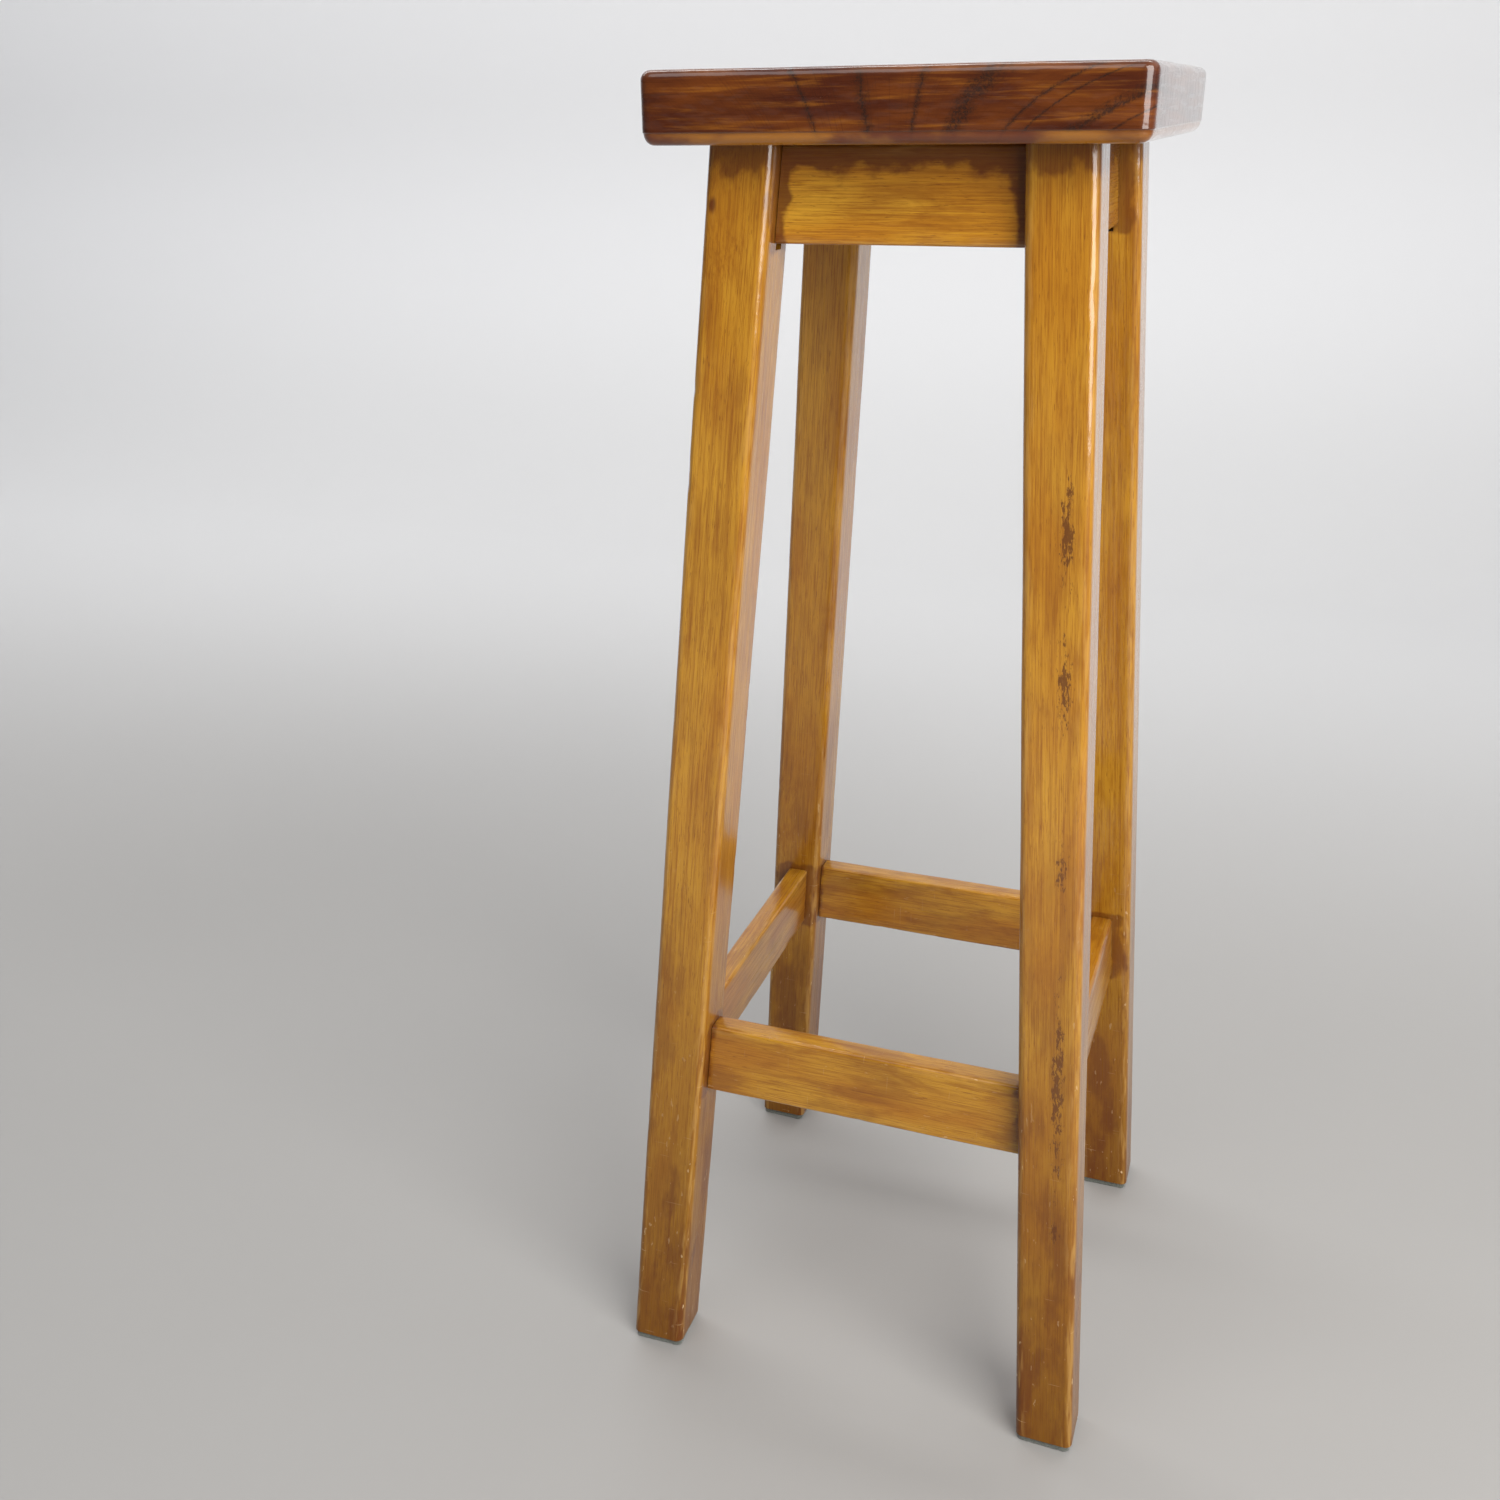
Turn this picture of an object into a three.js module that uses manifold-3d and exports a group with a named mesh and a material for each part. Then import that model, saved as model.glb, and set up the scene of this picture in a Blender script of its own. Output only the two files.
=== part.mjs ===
// A tall square bar stool in solid wood, at its real size in millimetres, +Z up.
// Four splayed legs stand on felt pads and carry four aprons, four stretchers and a thick board seat.
// The origin is the middle of the footprint, at floor level. The front faces -Y.
import * as THREE from "three";
import { mergeVertices } from "three/addons/utils/BufferGeometryUtils.js";
import Module from "manifold-3d";

// Driving dimensions
const STOOL_HEIGHT = 800; // floor to seat top
const SEAT_SIDE = 248; // the seat is square
const SEAT_THICKNESS = 34;
const SEAT_EDGE_RADIUS = 5; // top and bottom edges
const SEAT_CORNER_RADIUS = 7; // upright corners

const LEG_SIDE = 36;
const LEG_ARRIS_RADIUS = 4.5;
const LEG_HALF_SPREAD_TOP = 98; // centre line of the stool to a leg's outer face, under the seat
const LEG_HALF_SPREAD_FLOOR = 153; // the same at floor level

const RAIL_THICKNESS = 14; // aprons and stretchers are cut from the same stock
const RAIL_WIDTH = 47;
const RAIL_SETBACK = 13; // leg's outer face to a rail's outer face
const RAIL_ARRIS_RADIUS = 2;
const STRETCHER_BOTTOM = 205;

const TENON_THICKNESS = 8;
const TENON_LENGTH = 10;
const TENON_SHOULDER = 5; // above and below a stretcher's tenon
const APRON_TENON_HAUNCH = 10; // leg top left whole above an apron's tenon
const MORTISE_OVERCUT = 3; // apron mortises run on below the tenon and show as a slot

const BLOCK_HEIGHT = 30;
const BLOCK_LEG_SIDE = 38; // along each apron, measured from the leg's inner corner

const SCREW_SHANK_RADIUS = 2;
const SCREW_HEAD_RADIUS = 4;
const SCREW_HEAD_HEIGHT = 2.6;
const SCREW_BITE = 20; // screw length inside the seat
const SCREW_TIP = 4;

const PAD_THICKNESS = 4;
const PAD_SIDE = 35;
const PAD_CORNER_RADIUS = 4;
const PAD_EDGE = 0.6;

const GAP = 0.3; // between neighbouring pieces

// Worked out from the driving dimensions
const SEAT_UNDERSIDE = STOOL_HEIGHT - SEAT_THICKNESS;
const FRAME_TOP = SEAT_UNDERSIDE - GAP;
const LEG_FOOT = PAD_THICKNESS + GAP;
const SPLAY = (LEG_HALF_SPREAD_FLOOR - LEG_HALF_SPREAD_TOP) / SEAT_UNDERSIDE; // sideways run per rise
const BLOCK_BOTTOM = FRAME_TOP - BLOCK_HEIGHT;
// Screw axis, on each block's diagonal, a quarter of the way in from the leg's inner corner
const SCREW_OFFSET = LEG_HALF_SPREAD_TOP - LEG_SIDE - GAP - BLOCK_LEG_SIDE / 4;
const QUARTER_TURN = Math.PI / 2;
const CORNERS = ["front_left", "front_right", "back_right", "back_left"];
const SIDES = ["front", "right", "back", "left"];

const oak = new THREE.MeshStandardMaterial({ color: 0xa8661f, roughness: 0.3, metalness: 0 });
const darkOak = new THREE.MeshStandardMaterial({ color: 0x7a3c14, roughness: 0.22, metalness: 0 });
const plainWood = new THREE.MeshStandardMaterial({ color: 0xb98d57, roughness: 0.7, metalness: 0 });
const steel = new THREE.MeshStandardMaterial({ color: 0xb0b0ac, roughness: 0.35, metalness: 1 });
const felt = new THREE.MeshStandardMaterial({ color: 0x66675f, roughness: 0.95, metalness: 0 });

const wasm = await Module();
wasm.setup();

// Booleans
function toSolid(geometry) {
  const bare = geometry.clone();
  bare.deleteAttribute("normal");
  bare.deleteAttribute("uv");
  const merged = mergeVertices(bare, 1e-3);
  return new wasm.Manifold(
    new wasm.Mesh({
      numProp: 3,
      vertProperties: new Float32Array(merged.attributes.position.array),
      triVerts: new Uint32Array(merged.index.array),
    }),
  );
}

function toGeometry(solid) {
  const { vertProperties, triVerts } = solid.getMesh();
  const geometry = new THREE.BufferGeometry();
  geometry.setAttribute("position", new THREE.BufferAttribute(vertProperties, 3));
  geometry.setIndex(new THREE.BufferAttribute(triVerts, 1));
  geometry.computeVertexNormals();
  return geometry;
}

// Outlines
function roundedSquare(side, radius) {
  const half = side / 2;
  const inner = half - radius;
  const shape = new THREE.Shape();
  shape.absarc(inner, inner, radius, 0, QUARTER_TURN);
  shape.absarc(-inner, inner, radius, QUARTER_TURN, 2 * QUARTER_TURN);
  shape.absarc(-inner, -inner, radius, 2 * QUARTER_TURN, 3 * QUARTER_TURN);
  shape.absarc(inner, -inner, radius, 3 * QUARTER_TURN, 4 * QUARTER_TURN);
  return shape;
}

function rectangle(left, bottom, right, top) {
  return polygon([
    [left, bottom],
    [right, bottom],
    [right, top],
    [left, top],
  ]);
}

function polygon(points) {
  return new THREE.Shape(points.map(([x, y]) => new THREE.Vector2(x, y)));
}

// A rail's end view: across its thickness, up its width, with its long edges eased
function railSection(outer, inner, bottom, top, radius) {
  const shape = new THREE.Shape();
  shape.absarc(inner - radius, top - radius, radius, 0, QUARTER_TURN);
  shape.absarc(outer + radius, top - radius, radius, QUARTER_TURN, 2 * QUARTER_TURN);
  shape.absarc(outer + radius, bottom + radius, radius, 2 * QUARTER_TURN, 3 * QUARTER_TURN);
  shape.absarc(inner - radius, bottom + radius, radius, 3 * QUARTER_TURN, 4 * QUARTER_TURN);
  return shape;
}

// Splay: the stool's faces lean out by SPLAY on the way down from the seat
function leanBack(geometry) {
  const lean = new THREE.Matrix4().makeShear(0, 0, 0, 0, 0, SPLAY);
  lean.setPosition(0, -SPLAY * SEAT_UNDERSIDE, 0);
  return geometry.applyMatrix4(lean);
}

function halfSpread(z) {
  return LEG_HALF_SPREAD_TOP + SPLAY * (SEAT_UNDERSIDE - z);
}

// Front rail stock, running along X at the -Y side, from an outline in the YZ plane.
// The outline's first coordinate is measured inwards from the legs' outer face.
function railStock(outline) {
  const length = 3 * LEG_HALF_SPREAD_FLOOR;
  const geometry = new THREE.ExtrudeGeometry(outline, {
    depth: length,
    bevelEnabled: false,
    curveSegments: 3,
  });
  geometry.translate(0, 0, -length / 2);
  geometry.applyMatrix4(new THREE.Matrix4().makeBasis(
    new THREE.Vector3(0, 1, 0),
    new THREE.Vector3(0, 0, 1),
    new THREE.Vector3(1, 0, 0),
  ));
  geometry.translate(0, -LEG_HALF_SPREAD_TOP, 0);
  return toSolid(leanBack(geometry));
}

// Everything between two neighbouring legs, reaching `into` them past their inner faces
function betweenLegs(bottom, top, into) {
  const reach = (z) => halfSpread(z) - LEG_SIDE + into;
  const outline = polygon([
    [-reach(bottom), bottom],
    [reach(bottom), bottom],
    [reach(top), top],
    [-reach(top), top],
  ]);
  const depth = 4 * LEG_HALF_SPREAD_FLOOR;
  const geometry = new THREE.ExtrudeGeometry(outline, { depth, bevelEnabled: false });
  geometry.rotateX(QUARTER_TURN);
  geometry.translate(0, depth / 2, 0);
  return toSolid(geometry);
}

// A tenon bar through both ends of a rail; `clearance` turns the same bar into the mortise cutter
function tenonBar(bottom, top, clearance) {
  const middle = RAIL_SETBACK + RAIL_THICKNESS / 2;
  const half = TENON_THICKNESS / 2 + clearance;
  const low = bottom - clearance;
  const high = top + clearance;
  const bar = railStock(rectangle(middle - half, low, middle + half, high));
  return bar.intersect(betweenLegs(low, high, TENON_LENGTH + clearance));
}

function rail(bottom, top, tenonBottom, tenonTop) {
  const outer = RAIL_SETBACK;
  const inner = RAIL_SETBACK + RAIL_THICKNESS;
  const board = railStock(railSection(outer, inner, bottom, top, RAIL_ARRIS_RADIUS));
  const cutToLength = board.intersect(betweenLegs(bottom, top, -GAP));
  return cutToLength.add(tenonBar(tenonBottom, tenonTop, 0));
}

// The two levels of rail, and where their tenons sit
const APRON = {
  bottom: FRAME_TOP - RAIL_WIDTH,
  top: FRAME_TOP,
  tenonBottom: FRAME_TOP - RAIL_WIDTH + RAIL_ARRIS_RADIUS,
  tenonTop: FRAME_TOP - APRON_TENON_HAUNCH,
};
const STRETCHER = {
  bottom: STRETCHER_BOTTOM,
  top: STRETCHER_BOTTOM + RAIL_WIDTH,
  tenonBottom: STRETCHER_BOTTOM + TENON_SHOULDER,
  tenonTop: STRETCHER_BOTTOM + RAIL_WIDTH - TENON_SHOULDER,
};

function levelRail(level) {
  return toGeometry(rail(level.bottom, level.top, level.tenonBottom, level.tenonTop));
}

// Front left leg, square in plan at every height, with a mortise for each rail that enters it
function legGeometry() {
  const height = FRAME_TOP - LEG_FOOT;
  const stick = new THREE.ExtrudeGeometry(roundedSquare(LEG_SIDE, LEG_ARRIS_RADIUS), {
    depth: height,
    bevelEnabled: false,
    curveSegments: 4,
  });
  const centre = LEG_HALF_SPREAD_TOP - LEG_SIDE / 2;
  stick.translate(-centre, -centre, LEG_FOOT);
  const lean = new THREE.Matrix4().makeShear(0, 0, 0, 0, SPLAY, SPLAY);
  lean.setPosition(-SPLAY * SEAT_UNDERSIDE, -SPLAY * SEAT_UNDERSIDE, 0);
  stick.applyMatrix4(lean);

  const frontMortises = tenonBar(APRON.bottom - MORTISE_OVERCUT, APRON.tenonTop, GAP).add(
    tenonBar(STRETCHER.tenonBottom, STRETCHER.tenonTop, GAP),
  );
  const leftMortises = frontMortises.rotate([0, 0, -90]);
  return toGeometry(toSolid(stick).subtract(frontMortises).subtract(leftMortises));
}

// Corner block, glued into the front left corner of the aprons and notched round the leg
function blockOutline() {
  const apronInside = LEG_HALF_SPREAD_TOP - RAIL_SETBACK - RAIL_THICKNESS - GAP;
  const legInside = LEG_HALF_SPREAD_TOP - LEG_SIDE - GAP;
  const far = legInside - BLOCK_LEG_SIDE;
  return polygon([
    [-apronInside, -far],
    [-apronInside, -legInside],
    [-legInside, -legInside],
    [-legInside, -apronInside],
    [-far, -apronInside],
  ]);
}

function screwProfile(clearance) {
  const headBottom = BLOCK_BOTTOM + GAP - clearance;
  const shankStart = BLOCK_BOTTOM + GAP + SCREW_HEAD_HEIGHT;
  const tip = SEAT_UNDERSIDE + SCREW_BITE + clearance;
  return [
    [0, headBottom],
    [SCREW_HEAD_RADIUS + clearance, headBottom],
    [SCREW_SHANK_RADIUS + clearance, shankStart],
    [SCREW_SHANK_RADIUS + clearance, tip - SCREW_TIP],
    [0, tip],
  ].map(([radius, z]) => new THREE.Vector2(radius, z));
}

// A countersunk wood screw that stands on end, head down, at the front left corner block
function screwGeometry(clearance) {
  const geometry = new THREE.LatheGeometry(screwProfile(clearance), 16);
  geometry.rotateX(QUARTER_TURN);
  geometry.translate(-SCREW_OFFSET, -SCREW_OFFSET, 0);
  return geometry;
}

function blockGeometry() {
  const block = new THREE.ExtrudeGeometry(blockOutline(), { depth: BLOCK_HEIGHT, bevelEnabled: false });
  block.translate(0, 0, BLOCK_BOTTOM);
  const lean = new THREE.Matrix4().makeShear(0, 0, 0, 0, SPLAY, SPLAY);
  lean.setPosition(-SPLAY * SEAT_UNDERSIDE, -SPLAY * SEAT_UNDERSIDE, 0);
  block.applyMatrix4(lean);
  return toGeometry(toSolid(block).subtract(toSolid(screwGeometry(GAP))));
}

function seatGeometry() {
  const outline = roundedSquare(SEAT_SIDE - 2 * SEAT_EDGE_RADIUS, SEAT_CORNER_RADIUS - SEAT_EDGE_RADIUS);
  const board = new THREE.ExtrudeGeometry(outline, {
    depth: SEAT_THICKNESS - 2 * SEAT_EDGE_RADIUS,
    bevelThickness: SEAT_EDGE_RADIUS,
    bevelSize: SEAT_EDGE_RADIUS,
    bevelSegments: 5,
    curveSegments: 5,
  });
  board.translate(0, 0, SEAT_UNDERSIDE + SEAT_EDGE_RADIUS);
  const hole = toSolid(screwGeometry(GAP));
  const drilled = CORNERS.reduce(
    (solid, corner, turn) => solid.subtract(hole.rotate([0, 0, 90 * turn])),
    toSolid(board),
  );
  return toGeometry(drilled);
}

function padGeometry() {
  const outline = roundedSquare(PAD_SIDE - 2 * PAD_EDGE, PAD_CORNER_RADIUS - PAD_EDGE);
  const geometry = new THREE.ExtrudeGeometry(outline, {
    depth: PAD_THICKNESS - 2 * PAD_EDGE,
    bevelThickness: PAD_EDGE,
    bevelSize: PAD_EDGE,
    bevelSegments: 2,
    curveSegments: 4,
  });
  const centre = halfSpread(PAD_THICKNESS) - LEG_SIDE / 2;
  geometry.translate(-centre, -centre, PAD_EDGE);
  return geometry;
}

// Assembly
const stool = new THREE.Group();

function place(name, geometry, material, turn) {
  const mesh = new THREE.Mesh(geometry, material.clone());
  mesh.name = name;
  mesh.rotation.z = turn * QUARTER_TURN;
  stool.add(mesh);
}

place("seat", seatGeometry(), darkOak, 0);

const leg = legGeometry();
const block = blockGeometry();
const screw = screwGeometry(0);
const pad = padGeometry();
CORNERS.forEach((corner, turn) => {
  place(`leg_${corner}`, leg, oak, turn);
  place(`corner_block_${corner}`, block, plainWood, turn);
  place(`seat_screw_${corner}`, screw, steel, turn);
  place(`felt_pad_${corner}`, pad, felt, turn);
});

const apron = levelRail(APRON);
const stretcher = levelRail(STRETCHER);
SIDES.forEach((side, turn) => {
  place(`apron_${side}`, apron, oak, turn);
  place(`stretcher_${side}`, stretcher, oak, turn);
});

export default stool;
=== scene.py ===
# Looks of the tall square bar stool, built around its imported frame.
# Metres, +Z up, front towards -Y; lengths written as 3 * MM are millimetres.
import math

import bmesh
import bpy
import numpy as np
from mathutils import Matrix, Vector, noise


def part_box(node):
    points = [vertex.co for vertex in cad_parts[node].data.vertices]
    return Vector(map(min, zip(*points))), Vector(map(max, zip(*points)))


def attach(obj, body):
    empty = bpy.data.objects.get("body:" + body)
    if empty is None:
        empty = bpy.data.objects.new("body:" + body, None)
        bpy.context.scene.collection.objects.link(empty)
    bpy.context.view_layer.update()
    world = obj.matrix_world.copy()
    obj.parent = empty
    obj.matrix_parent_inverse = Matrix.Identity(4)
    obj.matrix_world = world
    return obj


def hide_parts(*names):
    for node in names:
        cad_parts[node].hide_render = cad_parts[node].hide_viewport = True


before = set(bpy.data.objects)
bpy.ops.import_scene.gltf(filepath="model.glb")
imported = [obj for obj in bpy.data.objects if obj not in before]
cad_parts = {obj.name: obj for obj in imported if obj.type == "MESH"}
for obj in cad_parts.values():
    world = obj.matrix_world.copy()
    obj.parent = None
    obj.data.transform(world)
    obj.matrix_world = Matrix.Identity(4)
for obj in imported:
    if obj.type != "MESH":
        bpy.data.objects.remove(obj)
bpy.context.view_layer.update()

MM = 0.001
CORNERS = ["front_left", "front_right", "back_right", "back_left"]
SIDES = ["front", "right", "back", "left"]
SEAT_NODE, LEG_NODE = "seat", "leg_front_left"

# ---- Camera, as the stool was seen: standing close, a little below seat height, looking down
CAMERA_DISTANCE = 0.8781  # level distance from the stool's middle
CAMERA_BEARING = math.radians(13.42)  # round from the front towards the stool's right
CAMERA_HEIGHT = 0.785
CAMERA_HEADING = math.radians(20.56)  # turned left from looking straight back
CAMERA_PITCH = math.radians(25.26)  # down
CAMERA_ROLL = math.radians(-0.84)
CAMERA_SENSOR, CAMERA_LENS = 36, 35.49  # millimetres, as Blender's camera takes them
CAMERA_SHIFT_UP = 1 / 30

# ---- Mesh fineness, shape details and wear that the frame doesn't hold
RING_STEP = 5 * MM  # along a leg or rail
RAIL_ARRIS = 2 * MM
LEG_ARRIS = 4.5 * MM
SEAT_CORNER = 7 * MM
SEAT_TOP_ROUND = 5 * MM
SEAT_BOTTOM_ROUND = 5.5 * MM
SEAT_STEP = 0.5 * MM  # where the bottom round meets the face
MORTISE_OVERCUT = 3 * MM  # apron mortises run on below the tenon
TENON_THICKNESS = 8 * MM
CLEARANCE = 0.3 * MM
QUARTER = math.pi / 2
WAVE = 0.25 * MM  # hand-planed unevenness, always inwards
LOW_REACH = 420 * MM  # wood is darker from the floor up to here (painted shade of the light falling off towards the floor, together with stain), and duller and more chipped
STRETCHER_SHADE_AND_WEAR = 0.42  # a stretcher's share of that, along its whole length
SEAT_STAIN_SHARE = 0.45  # of a depth below the seat, so that stain reaches further there than at a rail


# ---- Measures read from the frame
SAME_HEIGHT = 0.1 * MM


def points_of(node):
    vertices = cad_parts[node].data.vertices
    return np.array([v.co for v in vertices]).reshape(-1, 3)


def outline_at(node, height):
    """Lowest and highest corner of a CAD node's own points at one height."""
    points = points_of(node)
    level = points[np.abs(points[:, 2] - height) < SAME_HEIGHT]
    return level.min(0), level.max(0)


SEAT_LOW, SEAT_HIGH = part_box(SEAT_NODE)
SEAT_HALF = SEAT_HIGH.x
LEG_LOW, LEG_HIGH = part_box(LEG_NODE)
FOOT_Z, FRAME_Z = LEG_LOW.z, LEG_HIGH.z
LEG_TOP_LOW, LEG_TOP_HIGH = outline_at(LEG_NODE, FRAME_Z)
LEG_SIDE = LEG_TOP_HIGH[0] - LEG_TOP_LOW[0]
SPREAD_TOP, SPREAD_FOOT = -LEG_TOP_LOW[0], -LEG_LOW.x
SPLAY = (SPREAD_FOOT - SPREAD_TOP) / (FRAME_Z - FOOT_Z)


def half_spread(z):
    """Stool's middle to the legs' outer faces, at height z."""
    return SPREAD_TOP + SPLAY * (FRAME_Z - z)


class RailMeasures:
    """One level of rail, read from its front CAD node."""

    def __init__(self, node):
        points = points_of(node)
        self.bottom, self.top = points[:, 2].min(), points[:, 2].max()
        low, high = outline_at(node, self.bottom)
        self.shoulder_inset = half_spread(self.bottom) - high[0]
        self.thickness = high[1] - low[1] + 2 * RAIL_ARRIS
        self.middle = half_spread(self.bottom) + (low[1] + high[1]) / 2
        past = points[np.abs(points[:, 0]) > self.shoulder(points[:, 2]) + 1 * MM]
        self.tenon_bottom, self.tenon_top = past[:, 2].min(), past[:, 2].max()
        self.tenon_length = np.max(np.abs(past[:, 0]) - self.shoulder(past[:, 2]))

    def shoulder(self, z):
        return half_spread(z) - self.shoulder_inset


APRON = RailMeasures("apron_front")
STRETCHER = RailMeasures("stretcher_front")


# ---- Mesh helpers
def rounded_rectangle(half_x, half_y, radius, steps_x, steps_y, arc_steps):
    """Closed outline, anticlockwise: points, outward normals, and 0 on the flats to 1 on an arris."""
    points, normals, arris = [], [], []
    quarters = [(1, 1), (-1, 1), (-1, -1), (1, -1)]
    for quarter, (sx, sy) in enumerate(quarters):
        centre = np.array([sx * (half_x - radius), sy * (half_y - radius)])
        for i in range(arc_steps + 1):
            angle = (quarter + i / arc_steps) * QUARTER
            normal = np.array([math.cos(angle), math.sin(angle)])
            points.append(centre + radius * normal)
            normals.append(normal)
            arris.append(math.sin(math.pi * i / arc_steps))
        following = quarters[(quarter + 1) % 4]
        target = np.array([following[0] * (half_x - radius), following[1] * (half_y - radius)])
        target = target + radius * normals[-1]
        steps = steps_x if quarter % 2 == 0 else steps_y
        start = points[-1]
        for i in range(1, steps):
            points.append(start + (target - start) * i / steps)
            normals.append(normals[-1])
            arris.append(0.0)
    return np.array(points), np.array(normals), np.array(arris)


def circle(axis, radius, z, sides):
    turns = np.linspace(0, 2 * math.pi, sides, endpoint=False)
    return np.array([(axis.x + radius * math.cos(a), axis.y + radius * math.sin(a), z) for a in turns])


def loft(rings):
    """Vertices and faces of a closed body from rings of equally many points, with a cap at each end."""
    count = len(rings[0])
    faces = [tuple(reversed(range(count)))]
    for r in range(len(rings) - 1):
        base = r * count
        for i in range(count):
            j = (i + 1) % count
            faces.append((base + i, base + j, base + count + j, base + count + i))
    faces.append(tuple(range((len(rings) - 1) * count, len(rings) * count)))
    return np.concatenate(rings), faces


def make_object(name, vertices, faces):
    mesh = bpy.data.meshes.new(name)
    mesh.from_pydata([tuple(v) for v in vertices], [], faces)
    mesh.validate()
    made = bpy.data.objects.new(name, mesh)
    bpy.context.scene.collection.objects.link(made)
    return made


def smooth_with_creases(piece, crease=math.radians(33)):
    bm = bmesh.new()
    bm.from_mesh(piece.data)
    for face in bm.faces:
        face.smooth = True
    for edge in bm.edges:
        edge.smooth = len(edge.link_faces) == 2 and edge.calc_face_angle(0) < crease
    bm.to_mesh(piece.data)
    bm.free()


def cut(piece, cutters):
    """Cuts the cutters out of the piece for good, and removes them."""
    for cutter in cutters:
        boolean = piece.modifiers.new("cut", "BOOLEAN")
        boolean.operation = "DIFFERENCE"
        boolean.solver = "EXACT"
        boolean.object = cutter
    bpy.context.view_layer.update()
    graph = bpy.context.evaluated_depsgraph_get()
    result = bpy.data.meshes.new_from_object(piece.evaluated_get(graph))
    piece.modifiers.clear()
    piece.data = result
    for cutter in cutters:
        bpy.data.objects.remove(cutter)


SEED_STEP = (7.31, 3.17, 5.53)


def wobble(point, scale, seed):
    """Smooth noise from -1 to 1 whose bumps are about scale across. Each seed reads it elsewhere."""
    return noise.noise(Vector(point) / scale + Vector([seed * step for step in SEED_STEP]))


def sag(point, depth, scale, seed):
    """Unevenness from 0 to `depth`."""
    return depth * (0.5 + 0.5 * wobble(point, scale, seed))


def nick(point, depth, scale, seed, rarity):
    """0 nearly everywhere, and small dents where the noise is above `rarity`."""
    return depth * max(0, wobble(point, scale, seed) - rarity)


def store(piece, name, values):
    """A value or a vector for each vertex, which the materials read."""
    values = np.asarray(values, np.float32)
    kind, field = ("FLOAT", "value") if values.ndim == 1 else ("FLOAT_VECTOR", "vector")
    layer = piece.data.attributes.new(name, kind, "POINT")
    layer.data.foreach_set(field, values.ravel())


def vertices_of(piece):
    flat = np.empty(len(piece.data.vertices) * 3)
    piece.data.vertices.foreach_get("co", flat)
    return flat.reshape(-1, 3)


# ---- Legs, each built as the front left one and turned into its corner
FOOT_EASE = 0.9 * MM
LEG_STEPS, LEG_ARRIS_STEPS = 10, 6  # mesh steps across a face and round an arris
LEG_SEED = 3
LEG_PITHS = ((-47, 31), (38, -66), (58, 29), (-33, -52))  # mm from the tree's middle to each leg's
GRAIN_STEP = 900  # mm of grain between one leg and the next, so that no two look alike
# Right and back from the leg's middle before its turn, and up; 0 stands for its right or front face
LEG_KNOTS = {
    "front_left": (-13 * MM, 0.0, 738 * MM),
    "front_right": (6 * MM, 0.0, 118 * MM),
    "back_right": (0.0, -4 * MM, 455 * MM),
    "back_left": (8 * MM, 0.0, 300 * MM),
}
STAIN_START = 2 * MM  # no part of a leg counts as nearer than this to a rail
STAIN_ROUND_CORNER = 0.4  # of a distance sideways from a rail, so that stain creeps round the leg's edge
# A worn, pitted stripe down one leg: the middle height and the reach of each of its patches, in metres
SCUFFS = ((0.585, 0.034), (0.505, 0.030), (0.400, 0.022), (0.262, 0.080), (0.165, 0.010))
SCUFFED_LEG = "front_right"
SCUFF_OFF_CENTRE, SCUFF_HALF_WIDTH = 5.5 * MM, 4.6 * MM


def leg_centre(z):
    return LEG_SIDE / 2 - half_spread(z)


def leg_rings(seed):
    count = round((FRAME_Z - FOOT_Z) / RING_STEP)
    levels = [(FOOT_Z, FOOT_EASE), (FOOT_Z + FOOT_EASE, 0)]
    levels += [(z, 0) for z in np.linspace(FOOT_Z + RING_STEP, FRAME_Z, count)]
    rings = []
    for z, ease in levels:
        radius = LEG_ARRIS * (1.0 + 0.22 * wobble((0, 0, z), 90 * MM, seed))
        half = LEG_SIDE / 2 - ease
        outline, normals, arris = rounded_rectangle(
            half, half, radius, LEG_STEPS, LEG_STEPS, LEG_ARRIS_STEPS)
        ring = np.column_stack([outline + leg_centre(z), np.full(len(outline), z)])
        for i, normal in enumerate(normals):
            dent = arris[i] * nick(ring[i], 1.6 * MM, 11 * MM, seed + 2, rarity=0.38)
            ring[i, :2] -= normal * (sag(ring[i], WAVE, 70 * MM, seed + 1) + dent)
        rings.append(ring)
    return rings


CUTTER_OVERRUN = 8 * MM  # how far a mortise cutter stands out of the leg


def mortise_cutter(rail, low, high):
    """The hole for a front rail's tenon in the front left leg."""
    low, high = low - CLEARANCE, high + CLEARANCE
    half = TENON_THICKNESS / 2 + CLEARANCE
    corners = []
    for z in (low, high):
        deep = -(rail.shoulder(z) + rail.tenon_length + CLEARANCE)
        outside = -(rail.shoulder(z) - CUTTER_OVERRUN)
        middle = rail.middle - half_spread(z)
        corners += [(x, middle + side, z) for x, side in
                    ((deep, -half), (outside, -half), (outside, half), (deep, half))]
    faces = [(3, 2, 1, 0), (4, 5, 6, 7)]
    faces += [(i, (i + 1) % 4, 4 + (i + 1) % 4, 4 + i) for i in range(4)]
    return np.array(corners), faces


def swap_sides(points):
    """Mirrors the front left corner onto itself, so that front holes become left ones."""
    return points[:, [1, 0, 2]]


def leg_cutters():
    cutters = []
    for rail, low in ((APRON, APRON.bottom - MORTISE_OVERCUT), (STRETCHER, STRETCHER.tenon_bottom)):
        corners, faces = mortise_cutter(rail, low, rail.tenon_top)
        cutters.append(make_object("cutter", corners, faces))
        flipped = [tuple(reversed(face)) for face in faces]
        cutters.append(make_object("cutter", swap_sides(corners), flipped))
    return cutters


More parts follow.
